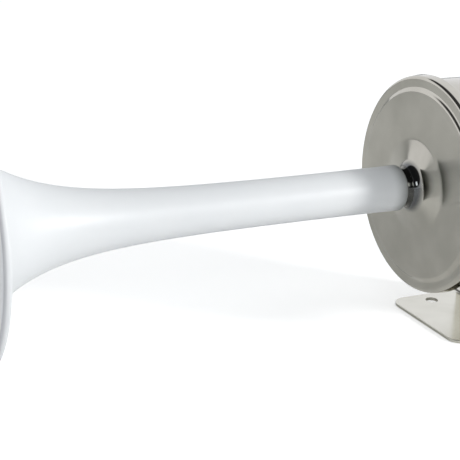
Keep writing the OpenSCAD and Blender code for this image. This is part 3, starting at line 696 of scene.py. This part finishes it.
materials = {
    "white_plastic": white_plastic(),
    "polished_steel": pressed_steel(),
    "foot_steel": brushed_steel("foot_steel", (0.62, 0.605, 0.53), (0.78, 0.765, 0.69), rough=(0.14, 0.25)),
    "stem_metal": spun_steel("stem_metal", (0.5, 0.5, 0.49), (0.58, 0.58, 0.57), rough=(0.25, 0.4),
                             line_scale=3000.0, strength=0.15),
    "gasket_rubber": dull("gasket_rubber", (0.018, 0.018, 0.019), (0.03, 0.03, 0.03), rough=(0.6, 0.8)),
    "spring_steel": spun_steel("spring_steel", (0.3, 0.31, 0.33), (0.4, 0.41, 0.43), rough=(0.2, 0.35)),
    "black_case": dull("black_case", (0.02, 0.02, 0.022), (0.03, 0.03, 0.032), rough=(0.3, 0.5),
                       grain=900.0, strength=0.1),
    "soft_iron": plated("soft_iron", (0.3, 0.3, 0.3), (0.4, 0.4, 0.4), rough=(0.35, 0.55)),
    "plated_steel": plated("plated_steel", (0.5, 0.5, 0.48), (0.6, 0.6, 0.58)),
    "black_plastic": dull("black_plastic", (0.018, 0.018, 0.019), (0.03, 0.03, 0.031), rough=(0.38, 0.55)),
    "copper_wire": wound_wire(),
    "brass": plated("brass", (0.62, 0.43, 0.16), (0.72, 0.52, 0.22)),
    "spring_bronze": plated("spring_bronze", (0.55, 0.33, 0.14), (0.64, 0.4, 0.18)),
    "contact_metal": plated("contact_metal", (0.5, 0.5, 0.5), (0.6, 0.6, 0.6), rough=(0.1, 0.2)),
    "laminate": dull("laminate", (0.2, 0.08, 0.03), (0.28, 0.12, 0.05), rough=(0.45, 0.6),
                     grain=700.0, strength=0.1),
    "condenser_can": brushed_steel("condenser_can", (0.55, 0.56, 0.58), (0.62, 0.63, 0.65),
                                   rough=(0.25, 0.4)),
    "lead_insulation": dull("lead_insulation", (0.12, 0.01, 0.01), (0.18, 0.02, 0.02), rough=(0.35, 0.5),
                            grain=900.0, strength=0.1),
}


def dress_nodes():
    """The CAD nodes get the materials of their slots."""
    for name, obj in frame["nodes"].items():
        for slot in obj.material_slots:
            slot.link = "OBJECT"
            slot.material = materials[slot_of[name]]


def painted(obj, material):
    """The object gets one material all over."""
    obj.data.materials.clear()
    obj.data.materials.append(material)


def dress(obj, body, node, look=None, replaces=True):
    """The object rides on its body, looks like its node and stands for it, unless another piece does."""
    slot = slot_of[node]
    painted(obj, materials[look or slot])
    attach(obj, body)
    if replaces:
        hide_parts(node)


def flex(obj, node):
    """The object stands for the node in the node's material, with its placement applied to the mesh."""
    slot = slot_of[node]
    painted(obj, materials[slot])
    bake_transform(obj)
    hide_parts(node)


dress_nodes()


# Trumpet

def trumpet_r(s):
    """Outer radius at a distance s in front of the ring."""
    opening = BELL_R - BEAD_R - TUBE_R
    flare = GENTLE_SHARE * math.exp((s - BELL_END) / FLARE_LENGTH)
    lip = (1 - GENTLE_SHARE) * math.exp((s - BELL_END) / LIP_FLARE_LENGTH)
    return TUBE_R + ROOT_SWELL * math.exp(-(s - ROOT_GAP) / SWELL_LENGTH) + opening * (flare + lip)


def trumpet_bore(outside):
    """Inner face of the wall: an even wall in front, which thickens towards the socket."""
    inside = []
    for r, y in beside(outside, -WALL):
        if -y > BORE_START + BORE_CLEAR:
            taper = max(0.0, 1 + (y + BORE_START) / TAPER_LENGTH)
            inside.append((r - (TUBE_R - WALL - SOCKET_BORE_R) * taper, y))
    return inside


def trumpet_outline():
    """Closed outline of the trumpet's wall, with the rounded lip."""
    span = BELL_END - ROOT_GAP - ROOT_ROUND
    places = [BELL_END - span * (1 - share) ** 2 for share in even(0.0, 1.0, FLARE_STEPS)]
    outside = [(trumpet_r(s), -s) for s in places]
    bead = Vector((BELL_R - BEAD_R, -REACH + BEAD_R))

    def clear(points):
        return [p for p in points if (Vector(p) - bead).length > BEAD_R]

    outside, inside = clear(outside), clear(trumpet_bore(outside))
    first, last = Vector(outside[-1]) - bead, Vector(inside[-1]) - bead
    a0 = math.degrees(math.atan2(first.y, first.x))
    a1 = math.degrees(math.atan2(last.y, last.x))
    lip = arc(bead, BEAD_R, a0, a1 if a1 < a0 else a1 - 360.0, steps=40)
    root_centre = (trumpet_r(ROOT_GAP) - ROOT_ROUND, -ROOT_GAP - ROOT_ROUND)
    root = arc(root_centre, ROOT_ROUND, 90, 0, steps=10)
    return [(SOCKET_R, -BORE_START), (SOCKET_R, -ROOT_GAP), *root, *outside, *lip, *inside[::-1],
            (SOCKET_BORE_R, -BORE_START)]


dress(turned("trumpet_moulding", trumpet_outline()), "horn_body", "trumpet")


# Front disc

def cover_face():
    """Outer face of the pressed disc, from the end of the neck to the rolled lip."""
    slope = math.radians(BOSS_SLOPE)
    middle = -STEP_H - CROWN_H
    start_r = BOSS_R + BOSS_BLEND * math.tan(slope / 2)
    fillet_end = NECK_R + NECK_FILLET - NECK_FILLET * math.sin(slope)
    fillet_y = middle - (BOSS_R - fillet_end) * math.tan(slope)
    fillet = (NECK_R + NECK_FILLET, fillet_y - NECK_FILLET * math.cos(slope))
    lip_round = SHEET + LIP_EASE
    lip_centre = (DISC_R + RIM_SWELL - lip_round, RIM_DEPTH - lip_round)

    def crown_y(r):
        return -STEP_H - CROWN_H * (1 - ((r - start_r) / (STEP_INNER_R - start_r)) ** 2)

    def step_y(r):
        share = (r - STEP_INNER_R) / (STEP_OUTER_R - STEP_INNER_R)
        return -STEP_H / 2 * (1 + math.cos(math.pi * share))

    return [
        (NECK_R, NECK_END),
        *arc(fillet, NECK_FILLET, 180, 90 + BOSS_SLOPE, steps=20),
        *arc((start_r, middle - BOSS_BLEND), BOSS_BLEND, 90 + BOSS_SLOPE, 90, steps=8),
        *[(r, crown_y(r)) for r in even(start_r, STEP_INNER_R, 24)[1:]],
        *[(r, step_y(r)) for r in even(STEP_INNER_R, STEP_OUTER_R, 16)[1:]],
        *arc((DISC_R - RIM_ROUND, RIM_ROUND), RIM_ROUND, -90, 0, steps=14),
        *arc(lip_centre, lip_round, 0, 90, steps=10),
        (DRUM_R + LIP_GAP, RIM_DEPTH),
    ]


cover = turned("front_cover_pressing", sheet(cover_face(), SHEET), steps=FINEST, sharp=COVER_SHARP)
dress(cover, "horn_body", "front_cover")


# Drum

def drum():
    """Deep shell with the holes for the adjuster and the terminals."""
    corner = (DRUM_R - DRUM_ROUND, DRUM_BACK - DRUM_ROUND)
    path = [(DRUM_R, DRUM_FRONT), *arc(corner, DRUM_ROUND, 0, 90, steps=24), (TAIL_HOLE_R, DRUM_BACK)]
    shell = turned("drum_shell", sheet(path, DRUM_SHEET))
    y0, y1 = DRUM_BACK - 4 * PAST, DRUM_BACK + 2 * PAST
    half_w, half_h = TERMINAL_HOLE_W / 2, TERMINAL_HOLE_H / 2
    boss_hole = round_bar("boss_hole", adjuster_x, adjuster_z, y0, y1, BOSS_HOLE_R)
    block_hole = box_piece("block_hole", (block_x - half_w, y0, -half_h), (block_x + half_w, y1, half_h))
    return cut(shell, boss_hole, block_hole)


dress(drum(), "horn_body", "drum")


# Foot

def foot_waste(half, front, back, top):
    """What is cut off or out of the foot's sheet: its four corners and the two screw holes."""
    spacing = mounts["base_bolts"]["dims"]["spacing_x_mm"]

    def outside_corner(r):
        return [*arc((0, 0), r, 0, 90, steps=20), (0, r + 2 * PAST), (r + 2 * PAST, r + 2 * PAST),
                (r + 2 * PAST, 0)]

    waste = []
    for sign in (-1, 1):
        def at_toe(u, v, t):
            return standing(sign * (half - FOOT_CORNER + u), front + FOOT_CORNER - v, t)

        def at_top(u, v, t):
            return standing(sign * (half - UPRIGHT_CORNER + u), t, top - UPRIGHT_CORNER + v)

        toe, upright = outside_corner(FOOT_CORNER), outside_corner(UPRIGHT_CORNER)
        waste.append(prism("corner", toe, at_toe, -PAST, FOOT_SHEET + PAST))
        waste.append(prism("corner", upright, at_top, back - FOOT_SHEET - PAST, back + PAST))
        hole = circle((sign * spacing / 2, 0), HOLE_R, steps=64)
        waste.append(prism("hole", hole, standing, -PAST, FOOT_SHEET + PAST))
    return waste


def foot():
    """Bent sheet: its side view extruded across the width, then corners and holes cut and all edges eased."""
    low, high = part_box("foot_bracket")
    half = (high.x - low.x) / 2 / MM
    front, back, top = low.y / MM, high.y / MM, high.z / MM
    bend = (back - FOOT_SHEET - BEND_R, FOOT_SHEET + BEND_R)
    side = [(front, 0.0), *arc(bend, BEND_R + FOOT_SHEET, -90, 0, steps=16), (back, top),
            (back - FOOT_SHEET, top), *arc(bend, BEND_R, 0, -90, steps=16), (front, FOOT_SHEET)]
    obj = prism("foot_sheet", side, lambda u, v, t: standing(t, u, v), -half, half)
    tail_hole = round_bar("tail_hole", 0, 0, DRUM_BACK, DRUM_BACK + 4 * PAST, TAIL_HOLE_R)
    cut(obj, *foot_waste(half, front, back, top), tail_hole)
    return bevelled(obj, FOOT_EASE)


dress(foot(), "horn_body", "foot_bracket", look="foot_steel")


# Fasteners at the back, the magnet core and the adjusting screw

def fasteners():
    """Washer, spring washer, nut and seal on the core's tail, and the adjusting screw's lock nut."""
    washer = turned("tail_washer_ring", ring(TAIL_HOLE_R, WASHER_R, *behind("tail_washer")))
    dress(washer, "horn_body", "tail_washer")
    split_section = ring(TAIL_HOLE_R, SPRING_WASHER_R, *behind("spring_washer"), edge=0.15)
    split_ring = turned("spring_washer_ring", split_section, steps=SMALL, start=WASHER_SPLIT / 2,
                        sweep=360.0 - WASHER_SPLIT)
    dress(split_ring, "horn_body", "spring_washer")
    tail_nut = nut("tail_nut_hex", 0, 0, *behind("tail_nut"), TAIL_NUT_FLATS, TAIL_R + FIT, TAIL_PITCH)
    dress(tail_nut, "horn_body", "tail_nut")
    lock_nut = nut("lock_nut_hex", adjuster_x, adjuster_z, *behind("lock_nut"), LOCK_NUT_FLATS, SCREW_R + FIT,
                   SCREW_PITCH)
    dress(lock_nut, "horn_body", "lock_nut")
    seal = turned("drum_seal_ring", ring(TAIL_HOLE_R, SEAL_R, *behind("drum_seal"), edge=0.3))
    dress(seal, "horn_body", "drum_seal")


def core():
    """Magnet core: plain in front, with a threaded tail."""
    y0, y1 = behind("magnet_core")
    shoulder = behind("yoke")[1] - YOKE_SHEET
    rough = thread(TAIL_R, TAIL_PITCH, TAIL_THREAD)
    count = int((y1 - shoulder) / TAIL_PITCH * ROWS_PER_TURN)
    ys = [y0, y0 + CORE_CHAMFER, shoulder - SHOULDER_STEP, *even(shoulder, y1, count)]

    def radius(a, y):
        if y < shoulder:
            return min(CORE_R, CORE_R - CORE_CHAMFER + (y - y0))
        return min(rough(a, y), TAIL_R - TAIL_CHAMFER + (y1 - y))

    return polar("core_and_tail", 0, 0, ys, radius)


def adjuster():
    """Adjusting screw: threaded, with chamfered ends, a driver's slot and a bore for the tip's spigot."""
    y0, y1 = behind("adjusting_screw")
    rough = thread(SCREW_R, SCREW_PITCH, SCREW_THREAD)
    count = int((y1 - y0) / SCREW_PITCH * ROWS_PER_TURN)

    def radius(a, y):
        return min(rough(a, y), SCREW_R - SCREW_CHAMFER + min(y - y0, y1 - y))

    obj = polar("adjusting_screw_thread", adjuster_x, adjuster_z, even(y0, y1, count), radius)
    slot = box_piece("slot", (adjuster_x - SLOT_REACH, y1 - SLOT_DEPTH, adjuster_z - SLOT_W / 2),
                     (adjuster_x + SLOT_REACH, y1 + PAST, adjuster_z + SLOT_W / 2))
    spigot_end = behind("adjuster_tip")[1] + SPIGOT_ROOM
    spigot = round_bar("spigot", adjuster_x, adjuster_z, y0 - PAST, spigot_end, SPIGOT_R)
    return cut(obj, slot, spigot)


fasteners()
dress(core(), "horn_body", "magnet_core", look="plated_steel")
dress(adjuster(), "adjusting_screw", "adjusting_screw")


# Terminals

blades_low, blades_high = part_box("terminal_blades")
blade_x0, blade_x1 = blades_low.x / MM, blades_high.x / MM
blade_z = ((blades_high.z - blades_low.z) / MM - BLADE_W) / 2


def terminal_moulding():
    """Moulded block with its collar, its edges eased, and a slot for each blade."""
    low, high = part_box("terminal_block")
    y0, y1 = behind("terminal_block")
    wide, tall = (high.x - low.x) / 2 / MM, (high.z - low.z) / 2 / MM
    block = box_piece("terminal_moulding", (block_x - wide + COLLAR, y0, COLLAR - tall),
                      (block_x + wide - COLLAR, y1, tall - COLLAR))
    flange = box_piece("flange", (block_x - wide, DRUM_BACK, -tall),
                       (block_x + wide, DRUM_BACK + COLLAR_DEPTH, tall))
    bevelled(block, BLOCK_EASE)
    bevelled(flange, COLLAR_EASE)
    joined(block, flange)
    slots = [box_piece("slot", (blade_x0, y0 - PAST, z - BLADE_W / 2), (blade_x1, y1 + PAST, z + BLADE_W / 2))
             for z in (-blade_z, blade_z)]
    return cut(block, *slots)


def blade(name, z):
    """A push-on blade with a tapered end and a locking hole."""
    y0, y1 = behind("terminal_blades")
    half = BLADE_W / 2
    outline = [(y0, z - half), (y1 - BLADE_TAPER, z - half), (y1, z - half + BLADE_TAPER),
               (y1, z + half - BLADE_TAPER), (y1 - BLADE_TAPER, z + half), (y0, z + half)]

    def upright(u, v, t):
        return place(t, u, v)

    obj = prism(name, outline, upright, blade_x0, blade_x1)
    hole = prism("hole", circle((y1 - BLADE_HOLE_BACK, z), BLADE_HOLE_R, steps=24), upright,
                 blade_x0 - PAST, blade_x1 + PAST)
    return bevelled(cut(obj, hole), BLADE_EASE, segments=2)


dress(terminal_moulding(), "horn_body", "terminal_block")
dress(blade("blade_low", -blade_z), "horn_body", "terminal_blades")
dress(blade("blade_high", blade_z), "horn_body", "terminal_blades", replaces=False)


# Diaphragm, in sectors between its clamped rim and its still middle

def diaphragm_face():
    """Front face of the diaphragm from its hole to its rim: flat, two shallow waves, flat."""
    front = behind("diaphragm")[0]
    hole_r = across("centre_stud")[0] / 2 + FIT
    rim_r = across("diaphragm")[0] / 2
    waves = []
    for i in range(WAVES * WAVE_STEPS + 1):
        depth = WAVE_H / 2 * (1 - math.cos(2 * math.pi * i / WAVE_STEPS))
        waves.append((WAVE_START_R + WAVE_WIDTH * i / WAVE_STEPS, front + depth))
    return [(hole_r, front), (STILL_R, front), *waves, (CLAMP_R, front), (rim_r, front)]


def diaphragm_sector(index):
    """One sector. Neighbours share the line between them, so the sheet stays closed."""
    turn = 360.0 / SECTORS
    sector = turned(f"diaphragm_sector_{index + 1}", sheet(diaphragm_face(), DIAPHRAGM_SHEET),
                    steps=SECTOR_STEPS, start=turn * (index - 0.5), sweep=turn)
    flex(sector, "diaphragm")


for index in range(SECTORS):
    diaphragm_sector(index)


# Contact arms, clamped between the insulators round the bushes

insulators_low, insulators_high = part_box("breaker_insulators")
root_x, pivot_x = insulators_low.x / MM, insulators_high.x / MM
arm_low, arm_high = (insulators_low.z - AXIS_Z) / MM, (insulators_high.z - AXIS_Z) / MM
arm_z = (arm_low + arm_high) / 2
bushes_low, bushes_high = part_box("breaker_bushes")
bush_r = (bushes_high.x - bushes_low.x) / 2 / MM
bush_dz = (bushes_high.z - bushes_low.z) / 2 / MM - bush_r
clamp_x = (root_x + pivot_x) / 2
clamp_holes = [(clamp_x, arm_z + side * bush_dz, bush_r + FIT) for side in (-1, 1)]
shank_hole = (across("fixed_contact")[1], arm_z, SHANK_R + FIT)
tag_low = (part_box("fixed_arm")[0].z - AXIS_Z) / MM


def sliced(obj, xs):
    """Adds edges across the object at these distances sideways, so that it can bend there."""
    bm = bmesh.new()
    bm.from_mesh(obj.data)
    for x in xs:
        everything = bm.verts[:] + bm.edges[:] + bm.faces[:]
        bmesh.ops.bisect_plane(bm, geom=everything, plane_co=place(x, 0, 0), plane_no=(1, 0, 0))
    bm.to_mesh(obj.data)
    bm.free()


def strip(name, node, x0, x1, tab_x, tab_w, tab_low, holes):
    """A flat strip in the node's thickness with one tab that reaches down, and round holes (x, z, radius)."""
    y0, y1 = behind(node)
    obj = box_piece(name, (x0, y0, arm_low), (x1, y1, arm_high))
    joined(obj, box_piece("tab", (tab_x, y0, tab_low), (tab_x + tab_w, y1, arm_low + PAST)))
    return cut(obj, *[round_bar("hole", x, z, y0 - PAST, y1 + PAST, r) for x, z, r in holes])


def fixed_arm():
    """The fixed arm, with extra edges where it leaves its clamp."""
    end_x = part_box("fixed_arm")[1].x / MM
    arm = strip("fixed_arm_strip", "fixed_arm", root_x, end_x, root_x + ARM_TAG, TAG_W, tag_low,
                [*clamp_holes, shank_hole])
    sliced(arm, even(pivot_x, pivot_x + ARM_BEND, BEND_STEPS))
    flex(arm, "fixed_arm")


def leaf():
    """The leaf in two pieces: a clamped root, and a swinging blade with a finger behind the armature."""
    low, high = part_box("contact_leaf")
    end_x = high.x / MM
    screw_w, screw_x, _ = across("adjusting_screw")
    screw_hole = (screw_x, arm_z, screw_w / 2 + TIP_ROOM)
    root = strip("leaf_root", "contact_leaf", root_x, pivot_x, root_x + LEAF_TAG, TAG_W, tag_low, clamp_holes)
    spring = strip("leaf_spring", "contact_leaf", pivot_x + FIT, end_x, end_x - FINGER_W, FINGER_W,
                   (low.z - AXIS_Z) / MM, [shank_hole, screw_hole])
    dress(root, "horn_body", "contact_leaf", replaces=False)
    dress(spring, "moving_arm", "contact_leaf")


fixed_arm()
leaf()


# Floor, surroundings, lamps and camera

def floor_material():
    """Pale floor, lifted towards white for the camera, which keeps the soft shadows near the horn."""
    n = Nodes("floor")
    path = n.add("ShaderNodeLightPath")
    mirrored = n.math("MAXIMUM", path.outputs["Is Glossy Ray"], path.outputs["Is Transmission Ray"])
    length = n.add("ShaderNodeVectorMath")
    length.operation = "LENGTH"
    n.put(n.coords, length.inputs[0])
    glow = n.spread(n.ramp(length.outputs["Value"], FADE_START, FADE_END), NEAR_GLOW, 1.0)
    shown = n.math("MULTIPLY", path.outputs["Is Camera Ray"], glow)
    reflected = n.math("MULTIPLY", mirrored, MIRRORED_GLOW)
    n.set(Base_Color=(0.86, 0.86, 0.86), Roughness=0.9, Specular_IOR_Level=0.0, Emission_Color=WHITE,
          Emission_Strength=n.math("ADD", shown, reflected))
    return n.material


def stage():
    """A flat floor just under the foot."""
    bm = bmesh.new()
    for x, y in ((-1, -1), (1, -1), (1, 1), (-1, 1)):
        bm.verts.new((x * FLOOR_HALF, y * FLOOR_HALF, -FLOOR_DROP))
    bm.faces.new(bm.verts)
    floor = piece("floor", bm)
    floor.data.materials.append(floor_material())


def background(n, color, strength):
    """A background shader in a world's nodes."""
    node = n.add("ShaderNodeBackground")
    n.put(color, node.inputs["Color"])
    n.put(strength, node.inputs["Strength"])
    return node.outputs[0]


def choose(n, factor, a, b):
    """Shader a where the factor is 0 and b where it is 1."""
    node = n.add("ShaderNodeMixShader")
    for value, socket in zip((factor, a, b), node.inputs):
        n.put(value, socket)
    return node.outputs[0]


def world():
    """White to the camera and soft light on the horn; reflections show it bright low down and behind."""
    studio = bpy.data.worlds.new("studio")
    bpy.context.scene.world = studio
    n = Tree(studio)
    path = n.add("ShaderNodeLightPath")
    direction = n.add("ShaderNodeTexCoord").outputs["Generated"]
    parts = n.add("ShaderNodeSeparateXYZ")
    n.put(direction, parts.inputs[0])
    rearward = parts.outputs[1]
    lean = n.add("ShaderNodeVectorMath")
    lean.operation = "DOT_PRODUCT"
    lean.inputs[1].default_value = LEAN
    n.put(direction, lean.inputs[0])
    low = n.carried(lean.outputs["Value"], LOW_EDGE, (1.0, 0.0))
    lit = n.math("MAXIMUM", low, n.ramp(rearward, *REAR_EDGE))
    mirrored = background(n, (0.95, 0.96, 1.0), n.spread(lit, 0.05, 1.0))
    soft = background(n, (0.92, 0.97, 1.0), n.carried(rearward, (-1.0, 1.0), (0.08, 0.54), "LINEAR"))
    shown = choose(n, path.outputs["Is Glossy Ray"], soft, mirrored)
    surroundings = choose(n, path.outputs["Is Camera Ray"], shown, background(n, WHITE, 1.0))
    n.put(surroundings, n.add("ShaderNodeOutputWorld").inputs["Surface"])


def lamp(name, location, size, power, color=WHITE, mirrored=True):
    """A rectangular lamp aimed at the horn; mirrored says whether reflections show it."""
    aim = Vector((0.0, -0.06, 0.07))
    data = bpy.data.lights.new(name, "AREA")
    data.shape = "RECTANGLE"
    data.size, data.size_y = size
    data.energy = power
    data.color = color
    obj = bpy.data.objects.new(name, data)
    bpy.context.scene.collection.objects.link(obj)
    obj.location = location
    obj.visible_glossy = mirrored
    obj.rotation_mode = "QUATERNION"
    obj.rotation_quaternion = (aim - Vector(location)).to_track_quat("-Z", "Y")


def camera():
    """The photograph's own view, found by fitting the outlines of the bell, tube, disc and foot."""
    right = Vector((0.44472, 0.89443, 0.04713))
    up = Vector((-0.31397, 0.10640, 0.94345))
    location = Vector((0.51605, -0.39214, 0.26088))
    back = right.cross(up).normalized()
    up = back.cross(right).normalized()
    right = up.cross(back)
    data = bpy.data.cameras.new("photo_view")
    data.sensor_width = 36.0
    data.lens = 111.49
    data.clip_start = 0.01
    data.clip_end = 30.0
    obj = bpy.data.objects.new("photo_view", data)
    bpy.context.scene.collection.objects.link(obj)
    axes = Matrix((right, up, back)).transposed().to_4x4()
    obj.matrix_world = Matrix.Translation(location) @ axes
    bpy.context.scene.camera = obj


stage()
world()
lamp("key", (0.96, 0.91, 0.56), size=(0.24, 0.24), power=12.7)
lamp("front", (0.15, -2.0, 0.4), size=(1.2, 0.8), power=12.0, color=(0.97, 0.98, 1.0), mirrored=False)
lamp("fill", (1.28, -0.64, 0.79), size=(0.5, 0.5), power=3.7, color=(0.97, 0.99, 1.0))
lamp("over", (-0.7, 0.9, 1.6), size=(1.4, 1.4), power=5.5, mirrored=False)
camera()

bpy.context.scene.view_settings.view_transform = "Standard"
